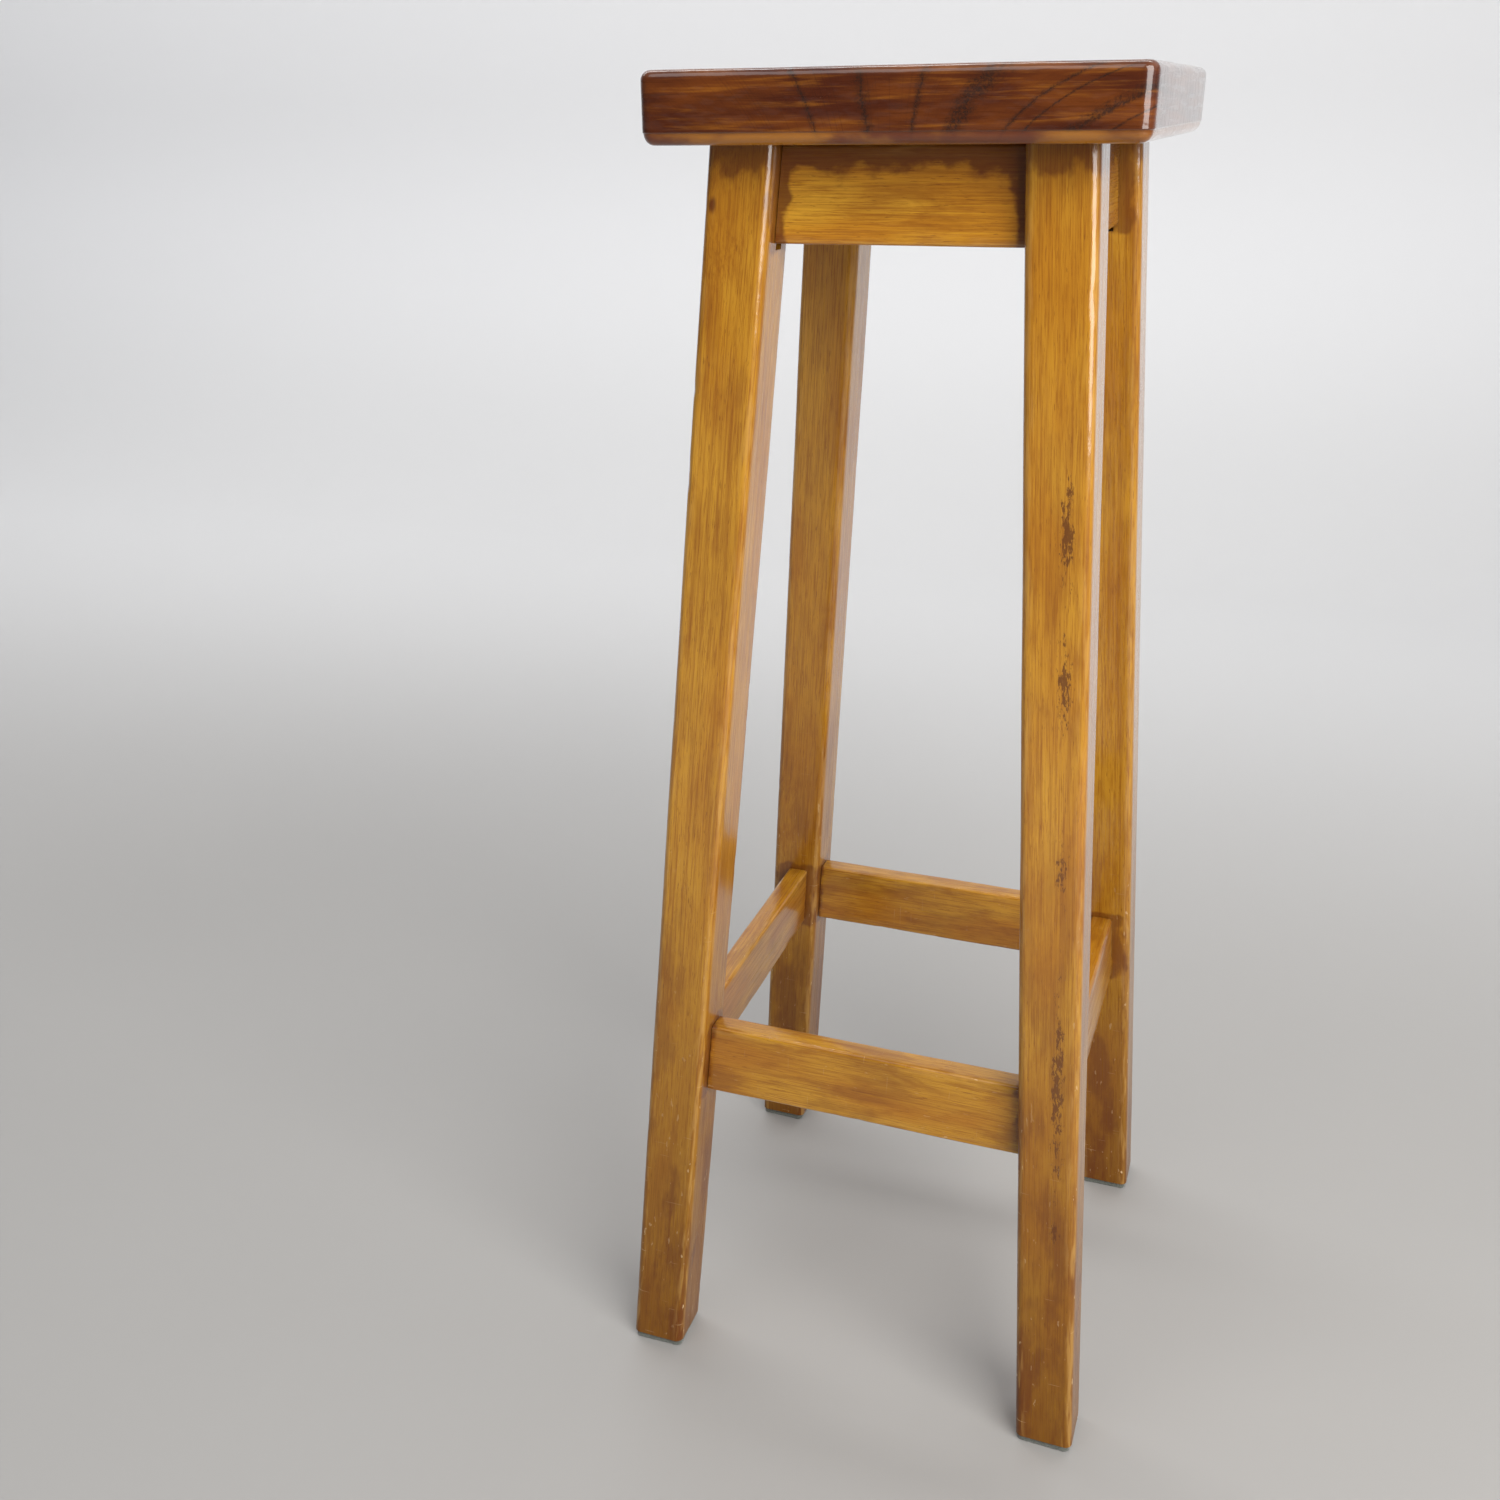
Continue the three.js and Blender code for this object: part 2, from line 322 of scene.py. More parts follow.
def leg_joint_distance(points):
    """Distance from the seat and from each rail's shoulder, which the stain gathers by."""
    distance = (FRAME_Z - points[:, 2]) * SEAT_STAIN_SHARE
    for rail in (APRON, STRETCHER):
        z = points[:, 2]
        near = np.maximum(np.maximum(rail.bottom - z, z - rail.top), 0)
        for along, across in ((0, 1), (1, 0)):
            gap = np.abs(points[:, along] + rail.shoulder(z))
            side = np.abs(points[:, across] + half_spread(z) - rail.middle) - rail.thickness / 2
            side = STAIN_ROUND_CORNER * np.maximum(side, 0)
            away = np.sqrt(near ** 2 + gap ** 2 + side ** 2) + STAIN_START
            distance = np.minimum(distance, away)
    return distance


def finish_leg(piece, turn, corner):
    points = vertices_of(piece)
    centre = leg_centre(points[:, 2])
    across = np.column_stack([points[:, 0] - centre, points[:, 1] - centre])
    half = LEG_SIDE / 2
    corner_x, corner_y = np.abs(across[:, 0]) - half, np.abs(across[:, 1]) - half
    arris = np.clip(1 + (corner_x + corner_y) / (1.5 * LEG_ARRIS), 0, 1)
    pith = LEG_PITHS[turn]
    height = points[:, 2] / MM + GRAIN_STEP * turn
    grain = np.column_stack([across[:, 0] / MM + pith[0], across[:, 1] / MM + pith[1], height])
    knot = np.array(LEG_KNOTS[corner])
    knot_x = knot[0] if knot[0] else half
    knot_y = knot[1] if knot[1] else -half
    offset = np.column_stack([across[:, 0] - knot_x, across[:, 1] - knot_y, points[:, 2] - knot[2]])
    scuff = scuff_band(across, points[:, 2]) if corner == SCUFFED_LEG else np.zeros(len(points))
    low = np.clip(1 - (points[:, 2] - FOOT_Z) / LOW_REACH, 0, 1)
    store(piece, "grain", grain)
    store(piece, "knot", offset / MM)
    store(piece, "joint", leg_joint_distance(points) / MM)
    store(piece, "arris", arris)
    store(piece, "scuff", scuff)
    store(piece, "low", low)
    piece.data.transform(Matrix.Rotation(turn * QUARTER, 4, "Z"))


def scuff_band(across, z):
    """How worn the stripe is, 0 to 1, on the left face, which faces front once the leg is turned."""
    on_face = across[:, 0] < -LEG_SIDE / 2 + 1.5 * MM
    stripe = np.exp(-((across[:, 1] + SCUFF_OFF_CENTRE) / SCUFF_HALF_WIDTH) ** 2)
    patches = [np.exp(-((z - middle) / reach) ** 2) for middle, reach in SCUFFS]
    return on_face * stripe * np.maximum.reduce(patches)


def build_leg(turn, corner):
    node = f"leg_{corner}"
    vertices, faces = loft(leg_rings(seed=10 * turn + LEG_SEED))
    piece = make_object(f"{node}_varnished", vertices, faces)
    cut(piece, leg_cutters())
    finish_leg(piece, turn, corner)
    smooth_with_creases(piece)
    return dress(piece, node, "leg_wood")


# ---- Rails, each built as the front one and turned to its side
RAIL_DEPTH_STEPS, RAIL_HEIGHT_STEPS, RAIL_ARRIS_STEPS = 3, 8, 5  # of the mesh
STRETCHER_STAIN_START = 4.5 * MM  # as STAIN_START is for a leg
APRON_LIFT, STRETCHER_LIFT = 40, -35  # mm from a rail up to the middle of its tree
RAIL_GRAIN_START, RAIL_GRAIN_STEP = 3000, 700  # mm along, as GRAIN_STEP is for a leg
RAIL_SEEDS = {"apron": 6, "stretcher": 60}


def rail_rings(rail, seed):
    middle_z = (rail.bottom + rail.top) / 2
    half_height = (rail.top - rail.bottom) / 2
    length = 2 * rail.shoulder(middle_z)
    count = round(length / RING_STEP)
    rings = []
    for share in np.linspace(-1, 1, count + 1):
        x = share * rail.shoulder(middle_z)
        radius = RAIL_ARRIS * (1.1 + 0.35 * wobble((x, 0, 0), 50 * MM, seed))
        outline, normals, arris = rounded_rectangle(
            rail.thickness / 2, half_height, radius,
            RAIL_DEPTH_STEPS, RAIL_HEIGHT_STEPS, RAIL_ARRIS_STEPS)
        ring = rail_section(rail, outline, share)
        for i, normal in enumerate(normals):
            dent = arris[i] * nick(ring[i], 1.5 * MM, 10 * MM, seed + 2, rarity=0.33)
            ring[i, 1:] -= normal * (sag(ring[i], 0.7 * WAVE, 50 * MM, seed + 1) + dent)
        rings.append(ring)
    return [tenon_ring(rail, rings[0], -1), tenon_root(rail, rings[0], -1), *rings,
            tenon_root(rail, rings[-1], 1), tenon_ring(rail, rings[-1], 1)]


def rail_section(rail, outline, share):
    """Puts a section (thickness, height) at a share of the way to the shoulders."""
    z = (rail.bottom + rail.top) / 2 + outline[:, 1]
    y = rail.middle - half_spread(z) + outline[:, 0]
    return np.column_stack([share * rail.shoulder(z), y, z])


def tenon_root(rail, ring, end):
    """The shoulder's ring drawn in to the tenon's own section, in the shoulder's plane."""
    middle_z = (rail.bottom + rail.top) / 2
    share_z = (rail.tenon_top - rail.tenon_bottom) / (rail.top - rail.bottom)
    z = (rail.tenon_bottom + rail.tenon_top) / 2 + (ring[:, 2] - middle_z) * share_z
    lean = rail.middle - half_spread(ring[:, 2])
    share_y = TENON_THICKNESS / rail.thickness
    y = rail.middle - half_spread(z) + (ring[:, 1] - lean) * share_y
    return np.column_stack([end * rail.shoulder(z), y, z])


def tenon_ring(rail, ring, end):
    root = tenon_root(rail, ring, end)
    root[:, 0] += end * rail.tenon_length
    return root


def finish_rail(piece, rail, turn, under_seat):
    points = vertices_of(piece)
    x, z = points[:, 0], points[:, 2]
    depth = points[:, 1] + half_spread(z) - rail.middle
    up = z - (rail.bottom + rail.top) / 2
    half_height = (rail.top - rail.bottom) / 2
    edge_y, edge_z = np.abs(depth) - rail.thickness / 2, np.abs(up) - half_height
    arris = np.clip(1 + (edge_y + edge_z) / (1.6 * RAIL_ARRIS), 0, 1)
    joint = rail.shoulder(z) - np.abs(x)
    if under_seat:
        joint = np.minimum(joint, (rail.top - z) * SEAT_STAIN_SHARE)
    else:
        joint += STRETCHER_STAIN_START
    lift = APRON_LIFT if under_seat else STRETCHER_LIFT
    along = x / MM + RAIL_GRAIN_STEP * turn + RAIL_GRAIN_START + lift
    grain = np.column_stack([depth / MM + 25 + 9 * turn, up / MM + lift + 5 * turn, along])
    store(piece, "grain", grain)
    store(piece, "knot", np.column_stack([depth, up, x + 1]) / MM)
    store(piece, "joint", joint / MM)
    store(piece, "arris", arris)
    store(piece, "scuff", np.zeros(len(points)))
    # a stretcher's painted shade, stain and wear, the same all along it
    store(piece, "low", np.full(len(points), 0.0 if under_seat else STRETCHER_SHADE_AND_WEAR))
    piece.data.transform(Matrix.Rotation(turn * QUARTER, 4, "Z"))


def build_rail(kind, rail, turn, side):
    node = f"{kind}_{side}"
    vertices, faces = loft(rail_rings(rail, seed=10 * turn + RAIL_SEEDS[kind]))
    piece = make_object(f"{node}_varnished", vertices, faces)
    finish_rail(piece, rail, turn, kind == "apron")
    smooth_with_creases(piece)
    return dress(piece, node, "rail_wood")


# ---- Seat: one thick board, rounded over above and below, with its grain running front to back
SEAT_STEPS, SEAT_CORNER_STEPS = 26, 8  # mesh steps along a side and round a corner
SEAT_SAG, SEAT_TOP_SAG = 0.35 * MM, 0.4 * MM  # unevenness of the sides and the top
SEAT_SEED = 71
SEAT_PITH = 8  # mm to the right of the middle: the growth rings fan out upwards from below it
RING_LEANS = (0.010, 0.021)  # how much they spread to the left and to the right, per mm of height
GRAIN_FAR = 1000  # mm, keeps the grain attribute positive
ROUND_REACH, ROUND_FADE = 14 * MM, 9 * MM  # in from the side faces: where the rounds' colour ends, the painted highlight above and the band of painted floor light and wear below
HOLE_RADIUS, HOLE_SIDES = 2.3 * MM, 16


def seat_profile():
    """Inset from the side face and height above the underside, from the bottom's middle to the top's."""
    thick = SEAT_HIGH.z - SEAT_LOW.z
    shares = (0.06, 0.3, 0.55, 0.78, 0.93)
    inner = SEAT_HALF - 8 * MM
    profile = [(SEAT_HALF - inner * s, 0) for s in shares]
    for i in range(7):
        angle = QUARTER * i / 6
        inset = SEAT_STEP + SEAT_BOTTOM_ROUND * (1 - math.sin(angle))
        profile.append((inset, SEAT_BOTTOM_ROUND * (1 - math.cos(angle))))
    profile.append((SEAT_STEP * 0.6, SEAT_BOTTOM_ROUND + 0.15 * MM))
    profile.append((0, SEAT_BOTTOM_ROUND + 0.6 * MM))
    side_low, side_high = SEAT_BOTTOM_ROUND + 1.4 * MM, thick - SEAT_TOP_ROUND
    profile += [(0, side_low + (side_high - side_low) * i / 6) for i in range(6)]
    for i in range(9):
        angle = QUARTER * i / 8
        inset = SEAT_TOP_ROUND * (1 - math.cos(angle))
        profile.append((inset, side_high + SEAT_TOP_ROUND * math.sin(angle)))
    profile += [(SEAT_HALF - inner * s, thick) for s in reversed(shares)]
    return profile


def seat_rings():
    rings = []
    for inset, lift in seat_profile():
        half = SEAT_HALF - inset
        radius = min(max(SEAT_CORNER - inset, 0.25 * SEAT_CORNER), half * 0.9)
        outline, normals, _ = rounded_rectangle(
            half, half, radius, SEAT_STEPS, SEAT_STEPS, SEAT_CORNER_STEPS)
        z = SEAT_LOW.z + lift
        ring = np.column_stack([outline, np.full(len(outline), z)])
        for i, normal in enumerate(normals):
            ring[i, :2] -= normal * sag(ring[i], SEAT_SAG, 60 * MM, SEAT_SEED)
            if lift > (SEAT_HIGH.z - SEAT_LOW.z) / 2:
                share = min(1, inset / SEAT_TOP_ROUND)
                ring[i, 2] -= share * sag(ring[i], SEAT_TOP_SAG, 50 * MM, SEAT_SEED + 2)
        rings.append(ring)
    return rings


def screw_holes():
    """Cutters for the seat's screw holes, from just below its underside."""
    holes = []
    for corner in CORNERS:
        low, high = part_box(f"seat_screw_{corner}")
        rings = [circle((low + high) / 2, HOLE_RADIUS, z, HOLE_SIDES)
                 for z in (SEAT_LOW.z - 2 * MM, high.z + CLEARANCE)]
        holes.append(make_object("cutter", *loft(rings)))
    return holes


def build_seat():
    """The board, with end grain on its front and back and long grain on its sides, top and underside."""
    piece = make_object("seat_varnished", *loft(seat_rings()))
    cut(piece, screw_holes())
    points = vertices_of(piece)
    x, y = points[:, 0] / MM, points[:, 1] / MM
    z = (points[:, 2] - (SEAT_LOW.z + SEAT_HIGH.z) / 2) / MM
    lean = np.where(x > 0, RING_LEANS[1], RING_LEANS[0])
    fan = (x - SEAT_PITH) * (1 - lean * z)
    grain = np.column_stack([fan + GRAIN_FAR, np.zeros(len(fan)), y])
    below = points[:, 2] - SEAT_LOW.z
    above = SEAT_HIGH.z - points[:, 2]
    bottom_round = np.clip(1 - (below - SEAT_BOTTOM_ROUND + 0.3 * MM) / (0.8 * MM), 0, 1)
    top_round = np.clip(1 - above / SEAT_TOP_ROUND, 0, 1)
    side = np.maximum(np.abs(points[:, 0]), np.abs(points[:, 1]))
    near_side = np.clip((side - SEAT_HALF + ROUND_REACH) / ROUND_FADE, 0, 1)
    flat = np.clip(1 - np.minimum(below, above) / (1.2 * MM), 0, 1)
    store(piece, "grain", grain)
    store(piece, "place", points / MM)
    store(piece, "flat", flat)
    store(piece, "bottom_round", bottom_round * near_side)
    store(piece, "top_round", top_round * near_side)
    smooth_with_creases(piece)
    return dress(piece, "seat", "seat_wood")


# ---- Felt pads, cut by hand and pressed out a little under the load
PAD_TWISTS = (1.6, -1.1, 0.7, -1.9)  # degrees
PAD_TRIM = 0.965  # share of the CAD pad's side, so that the frayed edge stays inside it
PAD_CORNER, PAD_FRAY, PAD_FRAY_SCALE = 3.4 * MM, 0.45 * MM, 2.2 * MM
PAD_SEED = 5
PAD_STEPS, PAD_CORNER_STEPS = 14, 6
PAD_PROFILE = (  # share of the side and of the thickness, from the floor up
    (0.5, 0), (0.9, 0), (0.975, 0.06), (0.995, 0.25), (0.99, 0.6), (0.98, 0.88), (0.95, 1), (0.5, 1))


def build_pad(turn, corner):
    node = f"felt_pad_{corner}"
    low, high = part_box(node)
    centre, half = (low + high) / 2, (high.x - low.x) / 2 * PAD_TRIM
    thick = high.z - low.z
    twist = Matrix.Rotation(math.radians(PAD_TWISTS[turn]), 3, "Z")
    rings = []
    for share, lift in PAD_PROFILE:
        outline, normals, _ = rounded_rectangle(
            half * share, half * share, PAD_CORNER * share, PAD_STEPS, PAD_STEPS, PAD_CORNER_STEPS)
        ring = []
        for (x, y), (nx, ny) in zip(outline, normals):
            spot = Vector((x, y, lift * thick))
            fray = PAD_FRAY * wobble(spot + centre, PAD_FRAY_SCALE, PAD_SEED) * (share > 0.9)
            spot = twist @ Vector((x + nx * fray, y + ny * fray, 0))
            ring.append((centre.x + spot.x, centre.y + spot.y, low.z + lift * thick))
        rings.append(np.array(ring))
    piece = make_object(f"{node}_fibres", *loft(rings))
    smooth_with_creases(piece, math.radians(60))
    return dress(piece, node, "pad_felt")


# ---- Screws, seen from below: a countersunk head with a cross recess
RECESS_REACH, RECESS_WIDTH, RECESS_DEPTH = 2.3 * MM, 0.8 * MM, 1.6 * MM
RECESS_FLOOR = 0.45  # share of its reach and width that is left at the bottom
HEAD_EASE = 0.15 * MM
TIP_RADIUS = 0.1 * MM
SCREW_SIDES = 40
RECESS_ANGLE, RECESS_ANGLE_STEP = math.radians(12), math.radians(38)  # each screw stopped at its own turn


def screw_profile(node, axis):
    """Radius and height at each step of the CAD screw, from its head up to its tip."""
    points = points_of(node)
    radii = np.hypot(points[:, 0] - axis.x, points[:, 1] - axis.y)
    heights = sorted({round(float(z), 6) for z in points[:, 2]})
    steps = [(radii[np.abs(points[:, 2] - z) < SAME_HEIGHT].max(), z) for z in heights]
    head_radius, head_z = steps[0]
    eased = [(head_radius - 2 * HEAD_EASE, head_z), (head_radius - HEAD_EASE, head_z + HEAD_EASE)]
    return eased + [(max(radius, TIP_RADIUS), z) for radius, z in steps[1:]]


def recess_cutter(axis, head_z, angle):
    """One of the two tapered bars that cut the cross."""
    rings = []
    for z, share in ((head_z - CLEARANCE, 1.0), (head_z + RECESS_DEPTH, RECESS_FLOOR)):
        reach, half = RECESS_REACH * share, RECESS_WIDTH / 2 * share
        spin = Matrix.Rotation(angle, 3, "Z")
        corners = [spin @ Vector((x, y, 0)) for x, y in
                   ((reach, half), (-reach, half), (-reach, -half), (reach, -half))]
        rings.append(np.array([(axis.x + c.x, axis.y + c.y, z) for c in corners]))
    return make_object("cutter", *loft(rings))


def build_screw(turn, corner):
    node = f"seat_screw_{corner}"
    low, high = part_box(node)
    axis = (low + high) / 2
    rings = [circle(axis, radius, z, SCREW_SIDES) for radius, z in screw_profile(node, axis)]
    piece = make_object(f"{node}_driven", *loft(rings))
    angle = RECESS_ANGLE + RECESS_ANGLE_STEP * turn
    cut(piece, [recess_cutter(axis, low.z, angle), recess_cutter(axis, low.z, angle + QUARTER)])
    smooth_with_creases(piece)
    return dress(piece, node, "screw_steel")


# ---- Materials
class Shader:
    """Short calls that add and link the nodes of one material."""

    def __init__(self, name):
        self.material = bpy.data.materials.new(name)
        self.material.use_nodes = True
        self.tree = self.material.node_tree
        self.surface = self.tree.nodes["Principled BSDF"]

    def add(self, kind, inputs=(), **properties):
        node = self.tree.nodes.new(kind)
        for name, value in properties.items():
            setattr(node, name, value)
        for key, value in dict(inputs).items():
            self.plug(node.inputs[key], value)
        return node

    def plug(self, socket, value):
        if isinstance(value, bpy.types.NodeSocket):
            self.tree.links.new(value, socket)
        else:
            socket.default_value = value

    def attribute(self, name, output="Fac"):
        return self.add("ShaderNodeAttribute", attribute_name=name).outputs[output]

    def math(self, operation, *values):
        return self.add("ShaderNodeMath", enumerate(values), operation=operation).outputs[0]

    def vector(self, operation, *values):
        node = self.add("ShaderNodeVectorMath", operation=operation)
        for socket, value in zip(node.inputs, values):
            self.plug(socket, value)
        return node.outputs["Value" if operation == "LENGTH" else "Vector"]

    def noise(self, coordinates, stretch, detail=2.0, roughness=0.5, distortion=0.0, output="Fac"):
        """Noise whose bumps measure 1/stretch along each axis."""
        scaled = self.vector("MULTIPLY", coordinates, stretch)
        node = self.add("ShaderNodeTexNoise", {"Vector": scaled, "Scale": 1.0, "Detail": detail,
                                               "Roughness": roughness, "Distortion": distortion})
        return node.outputs[output]

    def ramp(self, value, low, high, start=0.0, end=1.0):
        """Smooth step from start to end as value goes from low to high."""
        node = self.add("ShaderNodeMapRange", {"Value": value, "From Min": low, "From Max": high,
                                               "To Min": start, "To Max": end},
                        interpolation_type="SMOOTHSTEP")
        return node.outputs["Result"]

    def mix(self, share, first, second):
        """From first to second as share goes from 0 to 1. The Mix node's colour sockets are 6, 7 and 2."""
        node = self.add("ShaderNodeMix", data_type="RGBA")
        for index, value in ((0, share), (6, first), (7, second)):
            self.plug(node.inputs[index], (*value, 1.0) if isinstance(value, tuple) else value)
        return node.outputs[2]

    def bump(self, height, distance, strength):
        inputs = {"Height": height, "Distance": distance, "Strength": strength}
        return self.add("ShaderNodeBump", inputs).outputs["Normal"]

    def finish(self, **sockets):
        """Plugs the shader's sockets, named as coat_ior for Coat IOR."""
        for name, value in sockets.items():
            socket = name.replace("_", " ").title().replace("Ior", "IOR")
            self.plug(self.surface.inputs[socket], value)
        return self.material


def rgb(red, green, blue):
    """A display colour, 0 to 255, as the linear values a shader takes."""
    return tuple((c / 255 / 12.92) if c <= 10 else ((c / 255 + 0.055) / 1.055) ** 2.4
                 for c in (red, green, blue))


RING_BEND = 20.0  # mm that slow noise bends a stick's growth rings by
RING_DARKENS, RING_DARKEST = 0.25, 0.84  # shares of the way through a year's growth


def growth_rings(shader, grain, spacing):
    """0 between rings, 1 on the dark late wood: distance from the pith, bent by slow noise."""
    bend = shader.noise(grain, (0.025, 0.025, 0.005), detail=2.0, output="Color")
    bend = shader.vector("SUBTRACT", bend, (0.5, 0.5, 0.5))
    bent = shader.vector("ADD", grain, shader.vector("MULTIPLY", bend, (RING_BEND, RING_BEND, 0)))
    radius = shader.vector("LENGTH", shader.vector("MULTIPLY", bent, (1, 1, 0)))
    phase = shader.math("FRACT", shader.math("DIVIDE", radius, spacing))
    rise = shader.ramp(phase, RING_DARKENS, RING_DARKEST)
    fall = shader.ramp(phase, RING_DARKEST, 1.0, 1.0, 0.0)
    return shader.math("MULTIPLY", rise, fall)


def varnish(shader, colour, bump_height, ripple, roughness, coat):
    """Clear gloss coat over the coloured wood, with its own slow ripples; coat is how much is left."""
    grain_normal = shader.bump(bump_height, 0.10 * MM, 0.5)
    coat_normal = shader.bump(ripple, 0.6 * MM, 0.7)
    return shader.finish(base_color=colour, normal=grain_normal, roughness=roughness, ior=1.45,
                         specular_ior_level=0.15, coat_weight=coat, coat_normal=coat_normal,
                         coat_roughness=0.09, coat_ior=1.6)


LOW_SHADE_AND_STAIN = rgb(102, 58, 13)
KNOT_HEART = rgb(92, 36, 12)
BARE_ARRIS = rgb(218, 172, 96)
PIT = rgb(96, 52, 16)
CHIP = rgb(226, 196, 148)


def golden_wood(name, light, middle, deep, stain, stain_share, ring_spacing, figure):
    """Stained and varnished stick stock, with its grain along the piece. Coordinates are millimetres."""
    s = Shader(name)
    grain = s.attribute("grain", "Vector")
    knot = s.attribute("knot", "Vector")
    joint, arris = s.attribute("joint"), s.attribute("arris")
    scuff, low = s.attribute("scuff"), s.attribute("low")

    knot_away = s.vector("LENGTH", s.vector("MULTIPLY", knot, (1, 1, 0.55)))
    pull = s.ramp(knot_away, 2.0, 26.0, 9.0, 0.0)  # the grain swerves round the knot
    pull = s.add("ShaderNodeCombineXYZ", {"X": pull, "Y": pull}).outputs[0]
    pulled = s.vector("ADD", grain, pull)

    rings = growth_rings(s, pulled, ring_spacing)
    fibre = s.noise(pulled, (0.8, 0.8, 0.010), detail=5.0, roughness=0.65)
    hair = s.noise(grain, (1.7, 1.7, 0.05), detail=5.0, roughness=0.7)
    pores = s.noise(grain, (1.5, 1.5, 0.14), detail=2.0)
    blotch = s.noise(pulled, (0.034, 0.034, 0.009), detail=3.0, roughness=0.5)
    cloud = s.noise(pulled, (0.10, 0.10, 0.026), detail=5.0, roughness=0.6, distortion=0.7)
    smoke = s.noise(grain, (0.05, 0.05, 0.016), detail=4.0, roughness=0.6)

    colour = s.mix(s.ramp(blotch, 0.36, 0.66), light, middle)
    colour = s.mix(s.ramp(cloud, 0.46, 0.74, 0.0, figure), colour, deep)
    colour = s.mix(s.math("MULTIPLY", rings, s.ramp(smoke, 0.35, 0.7, 0.02, 0.30)), colour, deep)
    colour = s.mix(s.ramp(fibre, 0.46, 0.66, 0.0, 0.52), colour, deep)
    colour = s.mix(s.ramp(fibre, 0.30, 0.44, 0.50, 0.0), colour, light)
    colour = s.mix(s.ramp(hair, 0.50, 0.62, 0.0, 0.62), colour, deep)
    colour = s.mix(s.ramp(pores, 0.66, 0.74, 0.0, 0.60), colour, stain)
    # painted shade with stain: darker towards the floor, where the light falls off
    colour = s.mix(s.math("MULTIPLY", low, 0.74), colour, LOW_SHADE_AND_STAIN)
    grime = s.math("MULTIPLY", s.ramp(smoke, 0.46, 0.64), s.math("MULTIPLY_ADD", low, 0.50, 0.12))
    colour = s.mix(grime, colour, stain)

    ragged = s.math("MULTIPLY_ADD", s.noise(grain, (0.10, 0.10, 0.06), detail=5.0), 13.0, -6.5)
    near = s.math("ADD", joint, ragged)
    colour = s.mix(s.ramp(near, 4.0, 7.0, stain_share, 0.0), colour, stain)

    knot_heart = s.ramp(s.math("ADD", knot_away, s.math("MULTIPLY", cloud, 3.0)), 2.2, 4.4, 0.85, 0.0)
    colour = s.mix(knot_heart, colour, KNOT_HEART)

    worn = s.math("MULTIPLY", arris, s.ramp(s.noise(grain, (0.3, 0.3, 0.03), detail=3.0), 0.48, 0.62))
    colour = s.mix(s.math("MULTIPLY", worn, s.math("MULTIPLY_ADD", low, 0.2, 0.4)), colour, BARE_ARRIS)
    pits = s.noise(grain, (0.42, 0.42, 0.13), detail=5.0, roughness=0.75)
    pits = s.ramp(s.math("MULTIPLY_ADD", scuff, 0.32, pits), 0.72, 0.78)
    colour = s.mix(s.math("MULTIPLY", pits, 0.85), colour, PIT)
    speck = s.ramp(s.noise(grain, (0.42, 0.42, 0.13), detail=2.0), 0.70, 0.73)
    scratch = s.ramp(s.noise(grain, (0.05, 0.05, 1.1), detail=1.0), 0.755, 0.775)
    speck = s.math("MAXIMUM", speck, scratch)
    chips = s.math("MULTIPLY", speck, s.math("MULTIPLY", low, s.ramp(arris, 0.1, 0.6, 0.30, 1.0)))
    colour = s.mix(chips, colour, CHIP)

    height = s.math("SUBTRACT", s.math("MULTIPLY", fibre, 0.7), pits)
    roughness = s.ramp(fibre, 0.3, 0.7, 0.26, 0.42)
    ripple = s.noise(grain, (0.16, 0.16, 0.035), detail=5.0, roughness=0.62)
    coat = s.math("MULTIPLY_ADD", low, -0.8, 1.0)
    return varnish(s, colour, height, ripple, roughness, coat)


SEAT_RING_SPACING, SEAT_RING_BEND = 25.0, 64.0  # mm
SEAT_RINGS_FADE = (930.0, 958.0)  # across the board, as the grain attribute counts: few rings before


